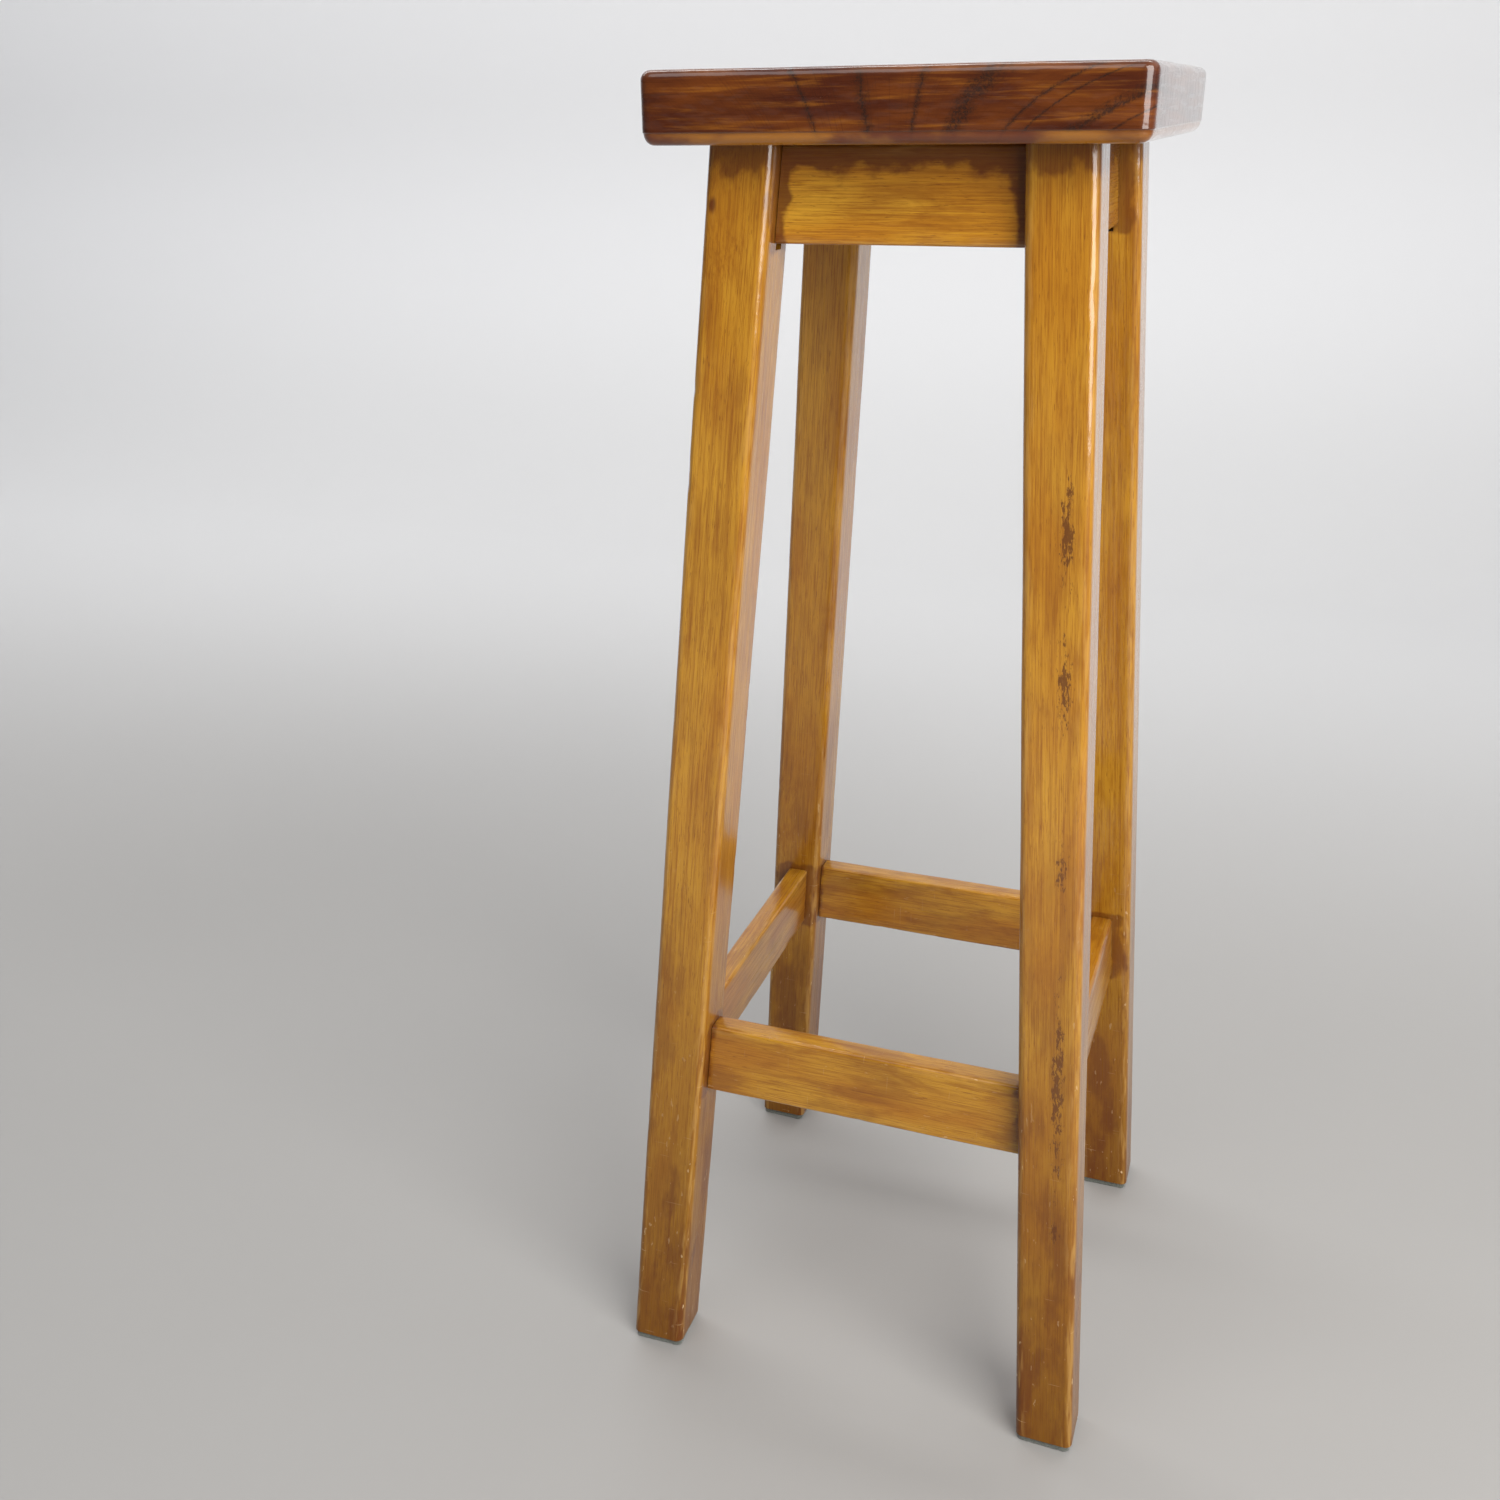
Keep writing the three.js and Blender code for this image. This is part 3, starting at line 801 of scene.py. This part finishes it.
def seat_wood():
    """Dark stained wood: growth rings on the front and back, long grain on the top and underside."""
    s = Shader("seat_wood")
    grain, place = s.attribute("grain", "Vector"), s.attribute("place", "Vector")
    bottom_round, top_round = s.attribute("bottom_round"), s.attribute("top_round")
    flat = s.attribute("flat")
    dark, deep = rgb(74, 29, 7), rgb(50, 20, 6)
    warm, gold = rgb(108, 53, 11), rgb(168, 102, 25)

    crackle = s.noise(place, (0.26, 0.02, 0.26), detail=6.0, roughness=0.8, output="Color")
    crackle = s.vector("SUBTRACT", crackle, (0.5, 0.5, 0.5))
    cracked = s.vector("ADD", grain, s.vector("MULTIPLY", crackle, (11, 0, 0)))
    across = s.add("ShaderNodeSeparateXYZ", {0: cracked}).outputs["X"]
    slow = s.noise(grain, (0.022, 0.022, 0.004), detail=1.0)
    bent = s.math("MULTIPLY_ADD", slow, SEAT_RING_BEND, across)
    phase = s.math("FRACT", s.math("DIVIDE", bent, SEAT_RING_SPACING))
    away = s.math("ABSOLUTE", s.math("SUBTRACT", phase, 0.5))
    broken = s.noise(place, (0.9, 0.03, 0.9), detail=3.0, roughness=0.6)
    lines = s.math("MULTIPLY", s.ramp(away, 0.0, 0.065, 1.0, 0.0), s.ramp(broken, 0.34, 0.50, 0.45, 1.0))
    smudge = s.ramp(away, 0.0, 0.17, 0.78, 0.0)
    lines = s.math("MAXIMUM", lines, s.math("MULTIPLY", smudge, s.ramp(broken, 0.40, 0.60, 0.45, 1.0)))
    lines = s.math("MULTIPLY", lines, s.ramp(across, *SEAT_RINGS_FADE, 0.06, 1.0))

    streak = s.noise(place, (0.020, 0.020, 0.42), detail=6.0, roughness=0.62, distortion=0.3)
    board_streak = s.noise(grain, (0.16, 1.0, 0.006), detail=6.0, roughness=0.62, distortion=0.3)
    streak = s.math("MULTIPLY_ADD", flat, s.math("SUBTRACT", board_streak, streak), streak)
    patch = s.noise(place, (0.016, 0.016, 0.07), detail=3.0, roughness=0.5)
    board_patch = s.noise(grain, (0.035, 1.0, 0.004), detail=3.0, roughness=0.5)
    patch = s.math("MULTIPLY_ADD", flat, s.math("SUBTRACT", board_patch, patch), patch)
    fibre = s.noise(grain, (1.0, 1.0, 0.016), detail=4.0, roughness=0.6)

    colour = s.mix(s.ramp(patch, 0.38, 0.66), dark, warm)
    colour = s.mix(s.ramp(streak, 0.50, 0.76, 0.0, 0.50), colour, gold)
    colour = s.mix(s.ramp(streak, 0.30, 0.48, 0.40, 0.0), colour, deep)
    colour = s.mix(s.ramp(fibre, 0.50, 0.72, 0.0, 0.40), colour, deep)
    colour = s.mix(s.math("MULTIPLY", lines, 0.85), colour, rgb(38, 22, 14))
    # the band on the bottom round is partly a painted reflection of the lit floor and partly wear
    glow = s.ramp(s.noise(place, (0.02, 0.02, 0.05), detail=4.0, roughness=0.5), 0.40, 0.62)
    edge = s.mix(glow, rgb(104, 46, 12), rgb(176, 112, 28))
    colour = s.mix(s.math("MULTIPLY", bottom_round, 0.8), colour, edge)
    # painted highlight: a golden line along the top round, patchy by glow
    colour = s.mix(s.math("MULTIPLY", top_round, s.math("MULTIPLY", glow, 0.45)), colour, rgb(158, 94, 30))
    height = s.math("SUBTRACT", s.math("MULTIPLY", fibre, 0.6), s.math("MULTIPLY", lines, 0.8))
    ripple = s.noise(place, (0.08, 0.08, 0.14), detail=2.0)
    return varnish(s, colour, height, ripple, s.ramp(streak, 0.3, 0.7, 0.24, 0.38), 1.0)


def felt():
    """Grey needled felt. The object coordinates of this and the next two are metres."""
    s = Shader("pad_felt")
    place = s.add("ShaderNodeTexCoord").outputs["Object"]
    fibres = s.noise(place, (900, 900, 2600), detail=5.0, roughness=0.75, distortion=1.5)
    tufts = s.noise(place, (260, 260, 500), detail=2.0)
    colour = s.mix(s.ramp(fibres, 0.35, 0.65), rgb(58, 62, 56), rgb(124, 128, 118))
    colour = s.mix(s.ramp(tufts, 0.45, 0.7, 0.0, 0.5), colour, rgb(82, 84, 78))
    normal = s.bump(fibres, 0.5 * MM, 0.9)
    return s.finish(base_color=colour, normal=normal, roughness=0.95, sheen_weight=0.4)


def sawn_wood():
    s = Shader("block_wood")
    place = s.add("ShaderNodeTexCoord").outputs["Object"]
    saw = s.noise(place, (90, 90, 1500), detail=3.0, roughness=0.6)
    figure = s.noise(place, (260, 40, 120), detail=4.0, roughness=0.6)
    fuzz = s.noise(place, (1800, 1800, 1800), detail=3.0)
    colour = s.mix(s.ramp(figure, 0.35, 0.68), rgb(196, 160, 112), rgb(158, 116, 70))
    colour = s.mix(s.ramp(fuzz, 0.55, 0.7, 0.0, 0.35), colour, rgb(120, 84, 48))
    normal = s.bump(s.math("ADD", saw, s.math("MULTIPLY", fuzz, 0.4)), 0.25 * MM, 0.8)
    return s.finish(base_color=colour, normal=normal, roughness=0.78)


def zinc_steel():
    s = Shader("screw_steel")
    place = s.add("ShaderNodeTexCoord").outputs["Object"]
    bloom = s.noise(place, (500, 500, 500), detail=4.0, roughness=0.6)
    colour = s.mix(s.ramp(bloom, 0.4, 0.65), rgb(196, 194, 182), rgb(150, 142, 120))
    normal = s.bump(bloom, 0.03 * MM, 0.4)
    roughness = s.ramp(bloom, 0.3, 0.7, 0.25, 0.45)
    return s.finish(base_color=colour, normal=normal, roughness=roughness, metallic=1.0)


MATERIALS = {
    "seat_wood": seat_wood(),
    "leg_wood": golden_wood("leg_wood", rgb(198, 143, 41), rgb(180, 120, 27), rgb(141, 81, 15),
                            rgb(98, 46, 16), stain_share=0.66, ring_spacing=5.5, figure=0.35),
    "rail_wood": golden_wood("rail_wood", rgb(220, 163, 47), rgb(197, 131, 30), rgb(150, 87, 17),
                             rgb(98, 44, 14), stain_share=0.80, ring_spacing=7.0, figure=0.55),
    "block_wood": sawn_wood(),
    "screw_steel": zinc_steel(),
    "pad_felt": felt(),
}


def dress(piece, node, slot):
    """Gives a new piece its finish and its body, and hides the CAD node that it stands for."""
    piece.data.materials.clear()
    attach(piece, "root")
    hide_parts(node)
    piece.data.materials.append(MATERIALS[slot])
    return piece


# ---- The stool
build_seat()
for turn, corner in enumerate(CORNERS):
    build_leg(turn, corner)
    build_pad(turn, corner)
    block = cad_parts[f"corner_block_{corner}"]
    block.material_slots[0].material = MATERIALS["block_wood"]
    eased = block.modifiers.new("eased edges", "BEVEL")
    eased.width, eased.segments, eased.limit_method = 0.6 * MM, 2, "ANGLE"
    build_screw(turn, corner)
for turn, side in enumerate(SIDES):
    build_rail("apron", APRON, turn, side)
    build_rail("stretcher", STRETCHER, turn, side)


# ---- Stage: a pale floor that sweeps up into a backdrop, soft lights and the camera
FLOOR_HALF_WIDTH = 30.0
SWEEP_START, SWEEP_RADIUS, SWEEP_HEIGHT = 1.7, 0.8, 3.0
SWEEP_STEPS = 16
FLOOR_DARK, FLOOR_LIGHT = rgb(164, 162, 159), rgb(172, 170, 167)
FAR_FLOOR_PAINTED_LIGHT, BACKDROP = rgb(226, 226, 226), rgb(236, 236, 237)
STOOL_MIDDLE = (0, 0, 0.45)
WORLD_TINT = (0.93, 0.95, 1.0, 1)
WORLD_FLOOR = 0.10  # the world's strength where it is darkest
WORLD_STEPS = (  # along each axis: where the world starts and stops getting brighter, and by how much
    ("X", 0.15, 0.85, 0.42), ("Z", 0.2, 1.0, 0.28), ("Y", 0.0, 0.8, 0.30))


def build_sweep():
    """Floor and backdrop in one sheet. The floor is painted paler away from the stool, most of all behind
    it: painted light where the lamps reach less.
    """
    line = [(-FLOOR_HALF_WIDTH, 0.0), (SWEEP_START, 0.0)]
    for i in range(1, SWEEP_STEPS + 1):
        angle = QUARTER * i / SWEEP_STEPS
        line.append((SWEEP_START + SWEEP_RADIUS * math.sin(angle), SWEEP_RADIUS * (1 - math.cos(angle))))
    line.append((SWEEP_START + SWEEP_RADIUS, SWEEP_HEIGHT))
    vertices = [(x, y, z) for x in (-FLOOR_HALF_WIDTH, FLOOR_HALF_WIDTH) for y, z in line]
    count = len(line)
    faces = [(i, count + i, count + i + 1, i + 1) for i in range(count - 1)]
    sweep = make_object("stage_sweep", vertices, faces)
    for polygon in sweep.data.polygons:
        polygon.use_smooth = True
    s = Shader("pale_floor")
    place = s.add("ShaderNodeTexCoord").outputs["Object"]
    tone = s.noise(place, (1.5, 1.5, 1.5), detail=2.0)
    colour = s.mix(tone, FLOOR_DARK, FLOOR_LIGHT)
    axes = s.add("ShaderNodeSeparateXYZ", {0: place}).outputs
    away = s.vector("LENGTH", s.vector("MULTIPLY", place, (1, 1, 0)))
    # painted light: the floor turns paler away from the stool and behind it
    colour = s.mix(s.ramp(away, 0.7, 2.6, 0.0, 0.35), colour, FAR_FLOOR_PAINTED_LIGHT)
    colour = s.mix(s.ramp(axes["Y"], 0.2, 1.7, 0.0, 0.75), colour, FAR_FLOOR_PAINTED_LIGHT)
    colour = s.mix(s.ramp(axes["Z"], 0.0, 0.6), colour, BACKDROP)
    sweep.data.materials.append(s.finish(base_color=colour, roughness=0.55))


def area_light(name, place, aim, width, height, watts, tint=(1, 1, 1)):
    """A soft box that the camera doesn't see."""
    data = bpy.data.lights.new(name, "AREA")
    data.shape, data.size, data.size_y = "RECTANGLE", width, height
    data.energy, data.color = watts, tint
    lamp = bpy.data.objects.new(name, data)
    lamp.visible_camera = False
    bpy.context.scene.collection.objects.link(lamp)
    lamp.location = place
    lamp.rotation_euler = (Vector(aim) - Vector(place)).to_track_quat("-Z", "Y").to_euler()


def build_camera():
    """Turned left and down from straight back, then rolled about its own line of sight."""
    data = bpy.data.cameras.new("camera")
    data.sensor_width, data.lens, data.shift_y = CAMERA_SENSOR, CAMERA_LENS, CAMERA_SHIFT_UP
    data.clip_start = 0.05
    camera = bpy.data.objects.new("camera", data)
    bpy.context.scene.collection.objects.link(camera)
    h, p = CAMERA_HEADING, CAMERA_PITCH
    forward = Vector((-math.sin(h) * math.cos(p), math.cos(h) * math.cos(p), -math.sin(p)))
    level = Vector((math.cos(h), math.sin(h), 0))
    right = Matrix.Rotation(-CAMERA_ROLL, 3, forward) @ level
    up = right.cross(forward)
    pose = Matrix((right, up, -forward)).transposed().to_4x4()
    side, back = math.sin(CAMERA_BEARING), -math.cos(CAMERA_BEARING)
    pose.translation = Vector((CAMERA_DISTANCE * side, CAMERA_DISTANCE * back, CAMERA_HEIGHT))
    camera.matrix_world = pose
    bpy.context.scene.camera = camera


def build_world():
    """Brighter overhead, to the right and beyond the stool than elsewhere."""
    world = bpy.data.worlds.new("studio")
    world.use_nodes = True
    tree = world.node_tree
    direction = tree.nodes.new("ShaderNodeTexCoord").outputs["Generated"]
    axes = tree.nodes.new("ShaderNodeSeparateXYZ")
    tree.links.new(direction, axes.inputs[0])
    strength = None
    for axis, low, high, most in WORLD_STEPS:
        step = tree.nodes.new("ShaderNodeMapRange")
        step.interpolation_type = "SMOOTHSTEP"
        tree.links.new(axes.outputs[axis], step.inputs["Value"])
        step.inputs["From Min"].default_value, step.inputs["From Max"].default_value = low, high
        step.inputs["To Max"].default_value = most
        total = tree.nodes.new("ShaderNodeMath")
        total.inputs[1].default_value = WORLD_FLOOR
        tree.links.new(step.outputs["Result"], total.inputs[0])
        if strength is not None:
            tree.links.new(strength, total.inputs[1])
        strength = total.outputs[0]
    background = tree.nodes["Background"]
    background.inputs["Color"].default_value = WORLD_TINT
    tree.links.new(strength, background.inputs["Strength"])
    bpy.context.scene.world = world


build_sweep()
build_world()
area_light("window_right", place=(1.2, -1.1, 1.3), aim=STOOL_MIDDLE, width=1.4, height=1.6, watts=41,
           tint=(1.0, 0.98, 0.95))
area_light("ceiling", place=(-0.5, -1.3, 2.5), aim=STOOL_MIDDLE, width=1.6, height=1.2, watts=9)
area_light("backdrop_wash", place=(-1.7, 0.9, 3.0), aim=(-1.7, 2.4, 0.5), width=5.5, height=0.6, watts=66)
build_camera()
bpy.context.scene.view_settings.view_transform = "Standard"
